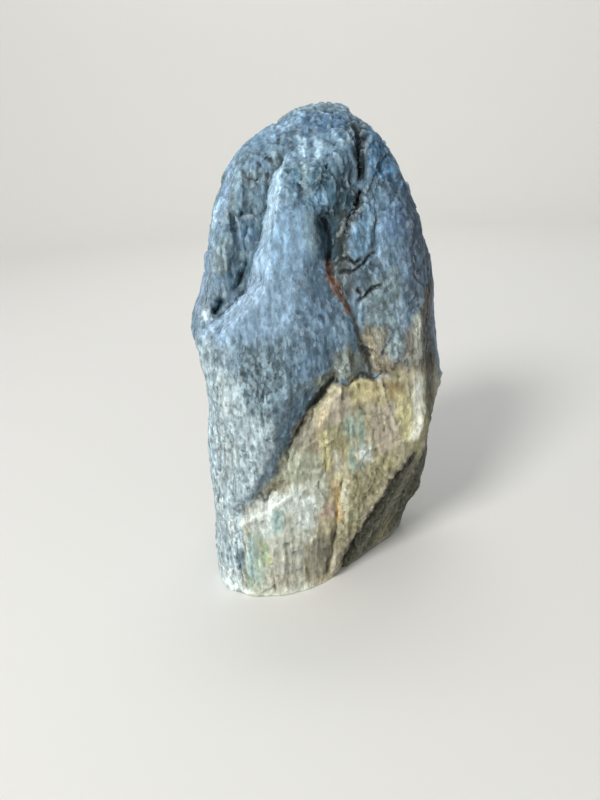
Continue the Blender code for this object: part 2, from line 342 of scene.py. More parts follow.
def pits(size, seed, share):
    """1 in the middle of small pits, which this share of the cells has, and 0 round them."""
    depths = []
    for place in (spots / size + seed).tolist():
        distances, centres = noise.voronoi(place)
        has_one = noise.cell(centres[0] * 53.0) < share
        depths.append(max(0.0, 1 - distances[0] / 0.45) if has_one else 0.0)
    return np.array(depths)


def hollow_bed():
    """1 at the spots in the bed of the hollow and 0 off it."""
    return front * rise(3, -4, hollow_gap) * rise(124, 134, z) * rise(203, 192, z)


# The stone is flakier near the top, by the cleft and where it is hackly, and the shoulder is
# smooth. The foot and the lower right are fluted.
UPRIGHT = np.array((1.0, 1.0, 2.2))
x, y, z = spots.T / MM
near_top = rise(150, 185, z)
hollow_gap = beside(HOLLOW_FOOT)[0]
in_hollow = hollow_bed()
smooth_shoulder = front * rise(2, 7, hollow_gap) * rise(6, -2, x)
smooth_shoulder *= rise(112, 122, z) * rise(178, 168, z)
by_cleft = front * rise(16, 4, np.abs(beside(CREVICE)[0])) * rise(150, 160, z)
bottom = front * rise(46, 24, z)
low_right = front * rise(-4, 8, x) * rise(76, 60, z)
hackly = front * rise(-14, -8, x) * rise(18, 12, x) * rise(170, 176, z) * rise(197, 192, z)
flaky = (0.8 + 0.5 * near_top + 0.7 * by_cleft + 1.0 * hackly) * (1 - 0.65 * smooth_shoulder)

ways = facing()
relief = 0.9 * flaky * dishes(11 * MM * UPRIGHT, seed=5.0)
relief += 1.3 * flaky * plates(13 * MM * UPRIGHT, seed=11.0)
relief += 0.9 * flaky * plates(6.5 * MM * UPRIGHT, seed=15.0)
relief += 0.55 * flaky * plates(3.2 * MM * UPRIGHT, seed=25.0)
leafy = (0.8 + 0.7 * back) * (1 - 0.7 * smooth_shoulder)
relief += leafy * leaves(26 * MM * UPRIGHT, steps=4, seed=23.0)
relief += 1.6 * back * plates(24 * MM * UPRIGHT, seed=31.0)
relief += 0.30 * rough_waves(np.array((2.2, 2.2, 14)) * MM, seed=53.0, octaves=3)
relief += 0.9 * bottom * rough_waves(np.array((3.2, 3.2, 40)) * MM, seed=61.0, octaves=3)
relief += 0.8 * low_right * rough_waves(
    np.array((2.8, 2.8, 30)) * MM, seed=67.0, octaves=3, lean=-29
)
pitted = (0.3 + 0.5 * in_hollow) * (1 - 0.5 * smooth_shoulder)
relief -= pitted * pits(3.6 * MM * UPRIGHT, seed=71.0, share=0.35)
relief -= 0.30 * pits(2.2 * MM * UPRIGHT, seed=81.0, share=0.5)
relief -= relief.mean()

# The relief runs out just above the floor, and what the block stands on is flat.
RESTING = 0.6
foot = rise(0.5, 5.0, z)
spots += ways * (relief * foot)[:, None] * MM
spots[:, 2] = np.where(z < RESTING, 0.0, np.maximum(spots[:, 2], 0.0))
facing()

# The skin is thinned where it is flat, so that its sharp places keep the most of it.
SKIN_TRIANGLES = 192000
thin = stone.modifiers.new("Thin", "DECIMATE")
thin.ratio = SKIN_TRIANGLES / (2 * len(stone.data.polygons))
bpy.ops.object.modifier_apply(modifier=thin.name)

# What is known of each spot is worked out again for the thinned skin.
spots, edges, neighbours = read_skin()
ways = facing()
front = front_share()
back = back_share()
jitter = wobble()
x, y, z = spots.T / MM
hollow_gap = beside(HOLLOW_FOOT)[0]
in_hollow = hollow_bed()


# THE COLOURS OF THE STONE
# Fresh soapstone is blue-grey, in paler and darker leaves that run up the block. The colours are
# laid on the skin one over another as thin washes, each with a ragged edge as a stain has.

GREY_BLUE = (0.140, 0.215, 0.280)
DARK_BLUE = (0.085, 0.140, 0.195)
LIGHT_BLUE = (0.230, 0.340, 0.460)

tint = np.tile(np.array(GREY_BLUE), (len(spots), 1))
lively = np.full(len(spots), 0.9)


def wash(colour, share):
    """Lays a colour over the skin, by this share of it at each spot."""
    tint[:] += (np.array(colour) - tint) * np.clip(share, 0.0, 1.0)[:, None]


def calm(level, share):
    """Draws the strength of the stone's speckle towards this level, by this share of it."""
    lively[:] += (level - lively) * np.clip(share, 0.0, 1.0)


streaky = rough_waves(4 * MM * np.array((1, 1, 5)), seed=101.0)
mottled = rough_waves(6 * MM * UPRIGHT, seed=111.0)
cloudy = rough_waves(24 * MM * UPRIGHT, seed=121.0)
bands = rough_waves(np.array((13, 13, 60)) * MM, seed=141.0, lean=-12)

calm(0.55, rise(0.0, 0.45, bands))
wash(DARK_BLUE, 0.5 * rise(0.05, 0.50, cloudy + 0.5 * mottled))
wash(LIGHT_BLUE, 0.5 * rise(0.10, 0.50, streaky - 0.3 * cloudy))


# THE TOP
# The top broke off across the leaves, so it is hackly and dull where it is fresh, pale where it
# is rubbed at its left end, and painted near black with shadow in its small pits.

# Painted shadow, laid near black in pits, notches and cracks all over the stone.
SHADOW_BLACK = (0.022, 0.030, 0.034)
ICE = (0.400, 0.540, 0.640)
FRESH_BLUE = (0.170, 0.280, 0.390)
HACKLE = (0.094, 0.176, 0.235)
PALE_GREEN_GREY = (0.215, 0.300, 0.335)
CROWN_BLUE = (0.078, 0.145, 0.230)
DEEP_BLUE = (0.056, 0.128, 0.215)

speckle = rough_waves(2.2 * MM * UPRIGHT, seed=131.0, octaves=2)
ragged = 0.55 * mottled + 0.45 * speckle + 0.3 * streaky


def patch(outline, edge=1.6, wander=1.2, side=front):
    """1 inside a closed outline and 0 outside it, over a ragged edge this wide. It is on the
    front, or on the share of the skin that side gives."""
    corners = np.array(outline, float)
    here = np.array([x, z]).T + wander * jitter
    nearest = np.full(len(here), np.inf)
    inside = np.zeros(len(here), bool)
    for start, end in zip(corners, np.roll(corners, -1, axis=0)):
        step = end - start
        share = np.clip((here - start) @ step / (step @ step), 0.0, 1.0)
        nearest = np.minimum(nearest, np.linalg.norm(here - start - share[:, None] * step, axis=1))
        crosses = (start[1] > here[:, 1]) != (end[1] > here[:, 1])
        with np.errstate(divide="ignore", invalid="ignore"):
            meets = start[0] + (here[:, 1] - start[1]) * step[0] / step[1]
        inside ^= crosses & (here[:, 0] < meets)
    depth = np.where(inside, nearest, -nearest) / edge + 1.3 * ragged
    return side * rise(-0.8, 0.8, depth)


def stain(colour, share, *shape):
    """Lays a colour over a patch, by this share of it. The rest says which patch."""
    wash(colour, share * patch(*shape))


stain(LIGHT_BLUE, 0.9, ((-27, 202), (-18, 208), (-5, 214), (-3, 207), (-14, 203), (-22, 198)))
stain(CROWN_BLUE, 0.85, ((-4, 214), (15, 214), (16, 205), (7, 203), (-5, 204)))
stain(DARK_BLUE, 0.35, ((-14, 205), (-7, 204), (-8, 197), (-14, 196)), 1.0)
stain(DEEP_BLUE, 0.9, ((21, 204), (29, 200), (35, 189), (31, 182), (21, 185)))
hackle = patch(((-11, 191), (13, 192), (15, 182), (6, 172), (-4, 174), (-8, 181)))
wash(HACKLE, 0.85 * hackle)
# The pits of the hackly patch are painted dark with shadow.
wash(SHADOW_BLACK, 0.55 * hackle * rise(0.15, 0.55, mottled + 0.5 * speckle))
stain(FRESH_BLUE, 0.75, ((-1, 182), (5, 181), (6, 174), (-2, 174)), 1.0)
stain(PALE_GREEN_GREY, 0.95, ((-6, 192), (-2, 192), (-3, 182), (-6, 181)), 1.0)
stain(ICE, 0.95, ((-7, 202), (-4, 202), (-4, 194), (-7, 194)), 1.0, 0.8)
stain(ICE, 0.95, ((0, 200), (3, 199), (2, 192), (-1, 193)), 0.9, 0.8)
# Two small pits are painted dark with shadow.
stain(SHADOW_BLACK, 0.5, ((-17, 196), (-14, 195), (-14, 192), (-17, 191)), 0.8, 0.8)
stain(SHADOW_BLACK, 0.4, ((-9, 206), (-6, 206), (-6, 203), (-9, 203)), 0.8, 0.8)


# THE RIGHT PANEL
# Right of the cleft the block split along a leaf and left a fresh blue plane. It turns plum-grey
# and brown round the right side, darkened there with painted shade, and tan lower down, where
# iron has seeped to it.

PLUM = (0.056, 0.078, 0.112)
INK_GREY = (0.044, 0.083, 0.126)
PANEL_BLUE = (0.140, 0.220, 0.340)
DULL_BLUE = (0.125, 0.180, 0.220)
LEAF_SHADOW = (0.055, 0.080, 0.100)
PANEL_GREY = (0.215, 0.290, 0.312)
PALE_PANEL = (0.285, 0.360, 0.370)
TAN = (0.280, 0.250, 0.190)
TAN_BROWN = (0.225, 0.210, 0.155)
BUFF = (0.400, 0.340, 0.220)
FAWN = (0.240, 0.215, 0.160)
UMBER = (0.200, 0.165, 0.110)
SIDE_BROWN = (0.082, 0.073, 0.060)
OLIVE_GREY = (0.180, 0.200, 0.170)
BROWN = (0.095, 0.085, 0.055)
CREAM = (0.580, 0.600, 0.520)


def streak(line, width, wander=1.2, side=front):
    """1 on a line and 0 from about this far off it, on the front or on the share given."""
    gap, along = beside(line, wander)
    ends = rise(0, 0.12, along) * rise(1, 0.88, along)
    return side * ends * rise(1.0, 0.3, np.abs(gap) / width - 0.35 * ragged)


def vein(colour, share, *shape):
    """Lays a colour along a streak, by this share of it. The rest says which streak."""
    wash(colour, share * streak(*shape))


# 1 on the front, and falling to 0 round the sides towards the back.
flank = rise(24, -12, y + 22 * cloudy)
# Plum-grey on the upper right side, darkened as painted shade.
stain(
    PLUM, 0.92, ((34, 177), (44, 184), (66, 165), (66, 128), (38, 136), (35, 156)), 3.0, 1.2, flank
)
stain(INK_GREY, 0.9, ((28, 184), (38, 186), (37, 176), (29, 175)))
stain(FRESH_BLUE, 0.95, ((17, 173), (22, 175), (22, 159), (17, 153), (10, 154), (11, 164)))
stain(PANEL_BLUE, 0.8, ((26, 174), (35, 174), (37, 162), (32, 160), (27, 162)))
vein(DARK_BLUE, 0.4, ((23, 172), (24, 163), (23, 154)), 1.6, 0.8)
vein(LIGHT_BLUE, 0.8, ((25, 170), (26, 161), (26, 151)), 2.2, 0.8)
stain(DULL_BLUE, 0.7, ((10, 153), (27, 153), (28, 139), (13, 139)))
stain(PANEL_GREY, 0.85, ((17, 143), (33, 152), (36, 118), (28, 117), (18, 126)))
panel_leaves = patch(((24, 154), (46, 158), (48, 112), (26, 112)), 3.0)
wash(LIGHT_BLUE, 0.45 * panel_leaves * rise(0.10, 0.40, streaky))
wash(LEAF_SHADOW, 0.45 * panel_leaves * rise(-0.05, -0.35, streaky))
stain(PALE_PANEL, 0.8, ((26, 121), (37, 119), (39, 104), (26, 103)))
stain(TAN, 0.7, ((21, 111), (40, 109), (41, 103), (21, 102)))
# Brown on the right side, darkened as painted shade.
stain(SIDE_BROWN, 0.94, ((42, 137), (70, 140), (70, 90), (44, 96)), 2.0, 1.2, flank)
stain(TAN_BROWN, 0.85, ((16, 128), (26, 128), (29, 106), (19, 105), (16, 117)))
vein(BUFF, 0.6, ((19, 126), (20, 120), (22, 113), (25, 107)), 2.4)
stain(OLIVE_GREY, 0.85, ((3, 118), (11, 124), (14, 118), (17, 107), (11, 106), (3, 106)))
stain(FAWN, 0.75, ((35, 124), (45, 126), (44, 104), (33, 104)), 2.4)
stain(UMBER, 0.60, ((26, 112), (36, 112), (38, 105), (24, 104)), 1.6)
vein(CREAM, 0.95, ((40, 131), (41, 122), (41, 108)), 3.0, 0.8)
vein(BROWN, 0.34, ((14, 124), (16, 117), (18, 109), (20, 104)), 2.4, 0.8)
vein(BROWN, 0.5, ((11, 120), (12, 115), (12, 110)), 2.4, 0.8)


# THE CREVICE AND THE CLEFT
# A crevice splits the top, painted black and blue-grey as shadow, and under it a deep cleft runs
# down, painted grey and black inside as shade. Fine cracks run off it to the right, painted dark
# with shadow.

CLEFT_SHADE = (0.046, 0.078, 0.100)
CREVICE_EDGE = (0.050, 0.080, 0.100)
CREVICE_BLACK = (0.014, 0.029, 0.038)
CLEFT_GREY = (0.070, 0.100, 0.120)
COLD_BLACK = (0.011, 0.027, 0.040)
CLEFT_BLACK = (0.034, 0.040, 0.036)
CLEFT_SHADE_GREY = (0.050, 0.060, 0.062)
CLEFT_BLUE = (0.033, 0.070, 0.092)

# Painted shadow: the crevice black, and dark blue-grey along its edges and beside it.
vein(CREVICE_EDGE, 0.70, CREVICE, 5.2, 0.9)
vein(CREVICE_BLACK, 0.95, CREVICE, 4.0, 0.9)
vein(CLEFT_SHADE, 0.40, ((13, 208), (13, 198), (12, 188), (11, 182)), 3.6, 0.9)
# Painted shade fills the cleft and the valley below it, in greys, blues and blacks.
stain(CLEFT_GREY, 0.75, ((5, 160), (13, 160), (13, 140), (8, 142), (4, 150)))
stain(CLEFT_SHADE, 0.90, ((10, 184), (17, 183), (15, 172), (11, 164), (9, 155), (6, 158), (7, 168)))
stain(COLD_BLACK, 0.92, ((12, 180), (19, 180), (18, 170), (12, 167)), 0.8, 0.8)
vein(SHADOW_BLACK, 0.7, LOWER_CREVICE, 1.8, 0.8)
stain(CLEFT_BLACK, 0.85, ((6, 173), (12, 173), (13, 164), (10, 152), (6, 150), (6, 160)), 1.6, 0.8)
stain(CLEFT_SHADE_GREY, 0.70, ((5, 154), (12, 155), (14, 146), (11, 137), (6, 145)), 1.8)
stain(CLEFT_BLUE, 0.72, ((-1, 171), (7, 173), (8, 161), (6, 153), (1, 154), (-1, 162)), 1.6, 0.8)
# Each fine crack is painted dark with shadow.
for crack in SIDE_CRACKS:
    vein(SHADOW_BLACK, 0.8, crack, 1.3, 0.8)


# THE HOLLOW AND THE SHOULDER
# The hollow's bed is a warm speckled grey, and the slits at its foot are painted dark with shadow.
# The wall that bounds it is painted pale blue as a highlight where the light falls on it, the rim
# along the left is rubbed to the palest blue, and the shoulder is smooth.

HOLLOW_GREY = (0.175, 0.250, 0.300)
WARM_GREY = (0.215, 0.262, 0.258)
SLIT = (0.022, 0.060, 0.088)
WALL_HIGHLIGHT = (0.340, 0.475, 0.610)
LILAC = (0.240, 0.335, 0.450)
SHOULDER_BLUE = (0.230, 0.345, 0.465)
PALEST_HIGHLIGHT = (0.560, 0.680, 0.740)
MID_BLUE = (0.108, 0.178, 0.250)
HOLLOW_TOP_BLUE = (0.110, 0.180, 0.250)
HOLLOW_DARK = (0.115, 0.160, 0.185)
HOLLOW_PALE = (0.270, 0.325, 0.330)
SLIT_BLUE = (0.070, 0.160, 0.210)
SHOULDER_LINE = (0.060, 0.100, 0.130)

SHOULDER = (
    (-16, 178), (-7, 178), (-5, 158), (-8, 140), (-12, 131), (-30, 123), (-52, 125), (-40, 136),
    (-24, 146),
)

wash(HOLLOW_GREY, 0.95 * in_hollow)
wash(WARM_GREY, 0.55 * in_hollow * rise(0.0, 0.35, mottled + 0.4 * speckle))
wash(DARK_BLUE, 0.45 * in_hollow * rise(0.1, 0.5, streaky - 0.5 * mottled))
wash(MID_BLUE, 0.35 * in_hollow * rise(-14, -4, hollow_gap) * rise(176, 164, z))
stain(WARM_GREY, 0.6, ((-43, 160), (-38, 159), (-38, 151), (-43, 150)), 1.0)
stain(WARM_GREY, 0.5, ((-28, 191), (-21, 191), (-20, 186), (-28, 187)), 0.8, 0.6)
stain(MID_BLUE, 0.85, ((-33, 171), (-26, 171), (-26, 161), (-33, 160)), 1.0)
stain(HOLLOW_TOP_BLUE, 0.55, ((-31, 204), (-18, 203), (-19, 190), (-32, 190)))
stain(HOLLOW_DARK, 0.50, ((-48, 160), (-38, 158), (-38, 148), (-48, 148)))
stain(HOLLOW_PALE, 0.55, ((-44, 159), (-38, 159), (-38, 151), (-44, 150)), 1.0)
stain(MID_BLUE, 0.60, ((-47, 151), (-36, 152), (-38, 144), (-47, 144)), 1.6)
# The notch and the slits below it are painted dark with shadow.
vein(SHADOW_BLACK, 0.55, ((-30, 192), (-29, 186), (-23, 185)), 1.1, 0.4)
vein(SLIT_BLUE, 0.45, HOLLOW_SLITS[0], 3.4, 0.6)
vein(SLIT, 0.97, HOLLOW_SLITS[1], 3.6, 0.6)
vein(LILAC, 0.85, ((-30, 204), (-35, 195), (-36, 188), (-39, 180), (-43, 172), (-45, 165)), 3.6)
vein(LILAC, 0.80, ((-45, 168), (-49, 156), (-51, 148), (-54, 139), (-58, 131)), 4.5)
vein(ICE, 0.80, ((-42, 177), (-44, 172), (-45, 167)), 2.2, 0.6)
stain(SHOULDER_BLUE, 0.9, SHOULDER, 3.0)
stain(MID_BLUE, 0.8, ((-10, 144), (-6, 157), (1, 155), (5, 143), (5, 122), (-8, 124)), 3.0)
stain(PALE_GREEN_GREY, 0.7, ((-6, 174), (-2, 173), (-1, 160), (-5, 159)))
vein(DARK_BLUE, 0.6, ((-5, 160), (-5, 151)), 2.2)
vein(SHOULDER_LINE, 0.95, ((0, 128), (1, 119), (1, 111)), 1.9, 0.8)
# The wall that faces the light is painted pale blue and ice as a highlight, palest along its crest and
# at its lower end.
wall = patch(HOLLOW_FOOT + HOLLOW_RIM[::-1], 0.7, 0.8)
wash(WALL_HIGHLIGHT, 0.95 * wall)
wash(ICE, 0.42 * wall * rise(158, 172, z))
vein(PALEST_HIGHLIGHT, 0.32, ((-14, 192), (-16, 185), (-18, 178), (-20, 170), (-22, 162)), 2.0, 0.8)
vein(PALEST_HIGHLIGHT, 0.9, ((-50, 137), (-48, 131)), 2.4, 0.4)
calm(0.75, in_hollow)
calm(0.5, wall)
calm(0.55, patch(((-16, 175), (-5, 174), (-6, 128), (-48, 124)), 5.0))
calm(0.90, patch(((-12, 140), (7, 138), (5, 106), (-8, 104)), 3.0))


# THE BLEACHED LEFT SIDE
# Weather has bleached the left side nearly to white, with the dark grains left standing in it.
# Above it is a speckled band, and a dark slate slope runs down to the ledge, where shadow is
# painted along it.

BLEACHED = (0.400, 0.500, 0.535)
SPECKLED = (0.141, 0.206, 0.243)
SLATE = (0.114, 0.162, 0.200)
INK_BLUE = (0.095, 0.185, 0.280)
LEDGE_SHADOW_BLACK = (0.050, 0.058, 0.058)
SLOPE_FOOT_SHADE = (0.080, 0.120, 0.150)
SPECK = (0.040, 0.065, 0.085)
SOFT_SPECK = (0.060, 0.090, 0.105)

SLOPE = (
    (-3, 110), (-4, 98), (-9, 91), (-14, 81), (-19, 71), (-23, 62), (-30, 54), (-42, 49),
    (-36, 57), (-28, 68), (-24, 80), (-22, 96), (-14, 108),
)

# The bearing of each spot round the block in degrees, 0 in front and below 0 on the left, and how
# high the bleaching reaches there. Its upper edge is sharp in front and soft behind.
bearing = np.degrees(np.arctan2(x, -y))
left_top = np.interp(bearing, (-180, -150, -120, -90, -60, -30, 0), (36, 58, 92, 104, 122, 114, 60))
behind = rise(-70, -110, bearing) + rise(110, 150, bearing)
under_top = left_top - z + 6 * mottled + (3 + 26 * behind) * cloudy
bleached = rise(-8 - 16 * behind, 8 + 16 * behind, under_top)
bleached *= rise(-10, -34, bearing + 8 * streaky) * (bearing < 0)
bleached *= 1 - 0.75 * rise(-130, -178, bearing + 30 * cloudy)
wash(BLEACHED, 0.95 * bleached)
wash(CREAM, 0.35 * bleached * rise(0.2, 0.6, streaky))
specked = patch(((-37, 124), (-14, 127), (-8, 113), (-12, 102), (-22, 92), (-33, 97), (-38, 110)), 3.0)
wash(SPECKLED, 0.85 * specked)
stain(MID_BLUE, 0.7, ((-14, 124), (0, 124), (0, 112), (-8, 103), (-15, 104)), 3.0)
slope = patch(SLOPE, 2.4)
wash(SLATE, 0.95 * slope)
# Painted shadow along the ledge: near black in its crevice, and dark and ink blue along the slope.
vein(LEDGE_SHADOW_BLACK, 0.85, LEDGE_SHADOW, 4.2, 0.9)
vein(SLOPE_FOOT_SHADE, 0.85, ((-13, 84), (-18, 72), (-23, 61)), 5.5)
vein(INK_BLUE, 0.5, ((-6, 103), (-12, 96), (-16, 88), (-19, 78)), 4.0)
stain(OLIVE_GREY, 0.9, ((-4, 110), (5, 111), (8, 108), (2, 104), (-3, 104)), 1.2)
vein(ICE, 0.5, ((-49, 118), (-50, 100), (-52, 80), (-53, 60)), 2.2)
calm(1.0, specked)
dark_specks = rise(0.16, 0.42, rough_waves(1.7 * MM * np.array((1, 1, 1.5)), seed=151.0, octaves=2))
wash(SPECK, 0.75 * specked * dark_specks)
wash(SOFT_SPECK, 0.50 * front * bleached * dark_specks)
calm(0.6, slope)


# THE STAINED MASS
# Iron has stained the mass under the ledge ochre, olive and tan, and copper and nickel have left
# mint streaks in it. It runs round the right side, and fades out on the back.

OCHRE = (0.420, 0.385, 0.262)
YELLOW = (0.640, 0.600, 0.335)
GOLD = (0.440, 0.380, 0.210)
RUSTY = (0.290, 0.215, 0.098)
PEACH = (0.500, 0.420, 0.280)
PINKISH = (0.430, 0.385, 0.300)
OLIVE = (0.300, 0.290, 0.165)
DRAB = (0.270, 0.255, 0.200)
SAGE = (0.375, 0.405, 0.320)
MINT = (0.340, 0.450, 0.370)
SEA_GREEN = (0.370, 0.510, 0.490)
YELLOW_GREEN = (0.390, 0.480, 0.300)
PALE_CREAM = (0.530, 0.565, 0.490)
CHALK = (0.660, 0.730, 0.690)
ORANGE = (0.660, 0.480, 0.210)
RUST = (0.130, 0.060, 0.030)
IVORY = (0.760, 0.770, 0.650)
PALE_YELLOW = (0.640, 0.610, 0.330)
ROSE = (0.400, 0.300, 0.260)
STRAW = (0.620, 0.590, 0.390)
PALE_STRAW = (0.700, 0.700, 0.540)

STAINED = (
    (70, 97), (62, 103), (55, 98), (49, 104), (40, 106), (32, 108), (24, 104), (16, 106), (10, 104),
    (4, 105), (0, 103), (-3, 100), (-5, 96), (-10, 90), (-15, 80), (-20, 71), (-24, 62), (-31, 54),
    (-39, 49), (-40, 40), (-42, 30), (-39, 22), (-43, 12), (-42, 4), (-47, -9), (70, -9),
)
CHALKY_LIP = (
    (-12, 60), (-14, 51), (-24, 43), (-29, 34), (-35, 35), (-40, 42), (-37, 49), (-26, 56),
)

# In front the stain ends at its outline, and elsewhere at a height for each bearing.
right_top = np.interp(
    bearing,
    (-180, -120, -60, 0, 40, 60, 90, 130, 160, 180),
    (16, 6, -20, 60, 106, 104, 92, 66, 36, 16),
)
round_the_side = rise(-5, 5, right_top - z + 6 * mottled + 20 * cloudy)
round_the_side *= 1 - 0.55 * rise(120, 165, np.abs(bearing) + 25 * cloudy)
soft_edge = rise(84, 64, z)
stained_edge = 0.7 + 3.0 * soft_edge + 3.0 * rise(38, 48, x)
stained = patch(STAINED, stained_edge, 0.7, np.ones(len(spots)))
stained += (round_the_side - stained) * rise(-20, -8, y)
wash(OCHRE, stained)
wash(SAGE, 0.75 * stained * rise(0.95, 0.35, stained) * soft_edge)
stain(SAGE, 0.6, ((-22, 62), (-16, 76), (-8, 84), (-12, 66), (-24, 50)), 2.5)
wash(OLIVE, 0.6 * stained * rise(0.05, 0.5, cloudy + 0.4 * streaky))
wash(PINKISH, 0.6 * stained * rise(0.05, 0.45, -mottled))
calm(0.45, stained)

# Its top and right: gold and rusty under the ledge, then pinkish and yellow out to an ivory rim.
stain(GOLD, 0.9, ((11, 106), (20, 105), (28, 101), (27, 94), (12, 96)))
vein(YELLOW, 0.6, ((13, 103), (15, 99), (18, 96)), 2.2)
stain(RUSTY, 0.95, ((26, 102), (34, 101), (33, 95), (27, 95)), 0.8, 1.6)
stain(PINKISH, 0.85, ((0, 99), (10, 101), (11, 87), (1, 88)))
stain(PINKISH, 0.85, ((19, 94), (30, 93), (32, 69), (21, 71)))
stain(YELLOW, 0.92, ((30, 98), (37, 96), (39, 72), (33, 74)))
vein(IVORY, 0.97, ((40, 106), (41, 98), (42, 88), (41, 78), (38, 70)), 4.0)
vein(CHALK, 0.9, ((40, 98), (42, 94)), 2.4, 0.4)

# Its upper left and middle: a peach edge under the ledge, its own colour brightened as a painted
# highlight, drab, olive and sage, and a mint streak.
stain(DRAB, 0.85, ((-13, 90), (-6, 92), (-5, 80), (-15, 76), (-17, 80)))
# The peach edge is brightened as a painted highlight where it faces the light.
vein(PEACH, 0.70, ((2, 99), (-1, 96), (-3, 91), (-4, 85), (-4, 79)), 2.6, 0.8)
stain(OLIVE, 0.85, ((0, 88), (10, 86), (9, 70), (2, 73)))
vein(PALE_YELLOW, 0.95, ((-2, 87), (-1, 79), (-1, 73), (0, 65)), 3.2, 0.8)
vein(CREAM, 0.8, ((3, 76), (4, 70), (4, 64)), 1.6, 0.6)
stain(SAGE, 0.8, ((-18, 77), (-4, 76), (-4, 62), (-21, 62)))
mint_streak = patch(((11, 96), (15, 90), (17, 76), (14, 62), (10, 66), (12, 76), (9, 86)), 2.6, 2.6)
wash(SAGE, 0.5 * mint_streak)
wash(MINT, 0.9 * mint_streak * rise(-0.35, 0.25, streaky + 0.5 * mottled))
stain(CHALK, 0.95, ((13, 74), (19, 74), (20, 66), (14, 67)), 1.2, 1.4)

# Lower down: olive above the crease, and chalky cream on the left, with mint down its edge.
stain(OLIVE, 0.8, ((9, 58), (26, 67), (33, 70), (22, 46), (10, 46)))
vein(GOLD, 0.5, ((32, 74), (29, 66), (25, 58)), 2.8)
stain(PALE_CREAM, 0.9, ((-20, 60), (-2, 64), (-3, 48), (-9, 28), (-30, 28), (-34, 42)))
stain(PALE_CREAM, 0.8, ((-34, 30), (-12, 30), (-14, 8), (-8, -4), (-48, -4), (-40, 8)))
stain(PINKISH, 0.5, ((-30, 16), (-18, 14), (-16, 4), (-30, 4)))
vein(CREAM, 0.7, ((-29, 30), (-29, 20)), 2.0, 0.6)
vein(DRAB, 0.5, ((-26, 30), (-26, 14)), 1.8, 0.6)
vein(DRAB, 0.5, ((-21, 30), (-21, 16)), 1.4, 0.6)
stain(CHALK, 0.98, ((-14, 56), (-6, 56), (-7, 36), (-15, 37)), 2.0)
stain(CHALK, 0.80, CHALKY_LIP, 2.4)
stain(SEA_GREEN, 0.9, ((-26, 49), (-20, 49), (-22, 38), (-28, 38)), 1.2)
stain(MINT, 0.85, ((-38, 38), (-31, 35), (-32, 22), (-34, 9), (-40, 6), (-41, 24)), 3.0, 2.8)
vein(SEA_GREEN, 0.8, ((-37, 36), (-38, 26), (-39, 10)), 2.6)
vein(YELLOW_GREEN, 0.9, ((-31, 33), (-31, 18)), 2.6, 0.8)
vein(YELLOW, 0.6, ((-29, 27), (-29, 20)), 1.4, 0.6)

# Along the rusty split: peach and drab on its left, and straw and olive on its right.
stain(DRAB, 0.85, ((-12, 28), (-4, 30), (0, 20), (-4, 6), (-13, 6)))
stain(PEACH, 0.6, ((-3, 49), (2, 48), (1, 38), (-4, 38)), 1.0)
stain(ROSE, 0.6, ((-3, 48), (2, 46), (1, 40), (-3, 41)), 1.0)
vein(STRAW, 0.95, ((4, 66), (6, 56), (7, 45), (8, 33)), 3.6, 0.8)
vein(PALE_STRAW, 0.9, ((6, 58), (7, 48), (7, 40)), 1.8, 0.6)
vein(ORANGE, 0.85, ((3, 61), (3, 52), (4, 43), (3, 34)), 2.0, 0.8)
vein(RUST, 0.45, ((3, 60), (2, 50), (2, 42), (2, 30)), 1.0, 0.6)
stain(OLIVE, 0.7, ((8, 46), (17, 46), (12, 26), (6, 26)))
vein(BROWN, 0.75, ((1, 34), (0, 24), (-2, 14), (-4, 4)), 2.2, 0.8)

# The left end of the foot.
stain(CHALK, 0.40, ((-56, 12), (-44, 16), (-42, 4), (-40, -6), (-56, -6)), 2.0)
stain(SLATE, 0.85, ((-45, 29), (-41, 29), (-42, 15), (-46, 15)), 1.0, 0.8)


# THE UNDERCUT
# Under the overhang at the lower right the stone is painted dark olive as shade, and blackest, as
# painted shadow, in the crease that bounds it. Faces turned down low on the sides and back get
# painted shade too. A strip up the right side is nearly as dark, its colour darkened as painted
# shade.

SIDE_GREY = (0.078, 0.079, 0.073)
UNDERSIDE_SHADE = (0.046, 0.051, 0.033)
UNDERCUT_SHADE = (0.062, 0.065, 0.042)
CREASE_SHADOW = (0.020, 0.018, 0.010)
SIDE_STRIP_SHADE = (0.060, 0.060, 0.050)


def relaxed(values, rounds):
    """The values, each drawn this many times towards the mean of its neighbours in the skin."""
    for _ in range(rounds):
        around = np.empty_like(values)
        for axis in range(values.shape[1]):
            column = values[:, axis]
            around[:, axis] = np.bincount(
                edges[:, 0], weights=column[edges[:, 1]], minlength=len(values)
            ) + np.bincount(edges[:, 1], weights=column[edges[:, 0]], minlength=len(values))
        values = (values + around / neighbours[:, None]) / 2
    return values


leaning_out = rise(0.10, -0.22, relaxed(ways, 10)[:, 2] + 0.10 * mottled)
undercut = rise(0.0, 3.0, beside(CREASE, 1.0)[0]) * rise(76, 62, z + 16 * cloudy + 5 * mottled)
undercut *= rise(22, -14, y + 26 * cloudy)
# Painted shade: the undercut is laid dark olive.
wash(UNDERCUT_SHADE, 0.96 * undercut)
# Faces turned down, low on the sides and back, get painted shade.
wash(UNDERSIDE_SHADE, 0.60 * leaning_out * rise(60, 34, z + 8 * mottled) * (1 - undercut) * (1 - front))
wash(SIDE_GREY, 0.4 * undercut * rise(36, 56, z))
pale_run = streak(((42, 64), (39, 50), (34, 37), (27, 24), (19, 13), (10, 0)), 3.4, 1.2)
wash(DRAB, 0.48 * undercut * pale_run)
# The crease is painted black as shadow.
vein(CREASE_SHADOW, 0.92, CREASE, 3.8, 0.8)
side_strip = rise(43, 48, x) * rise(116, 96, z + 14 * cloudy) * rise(-30, -20, y) * flank
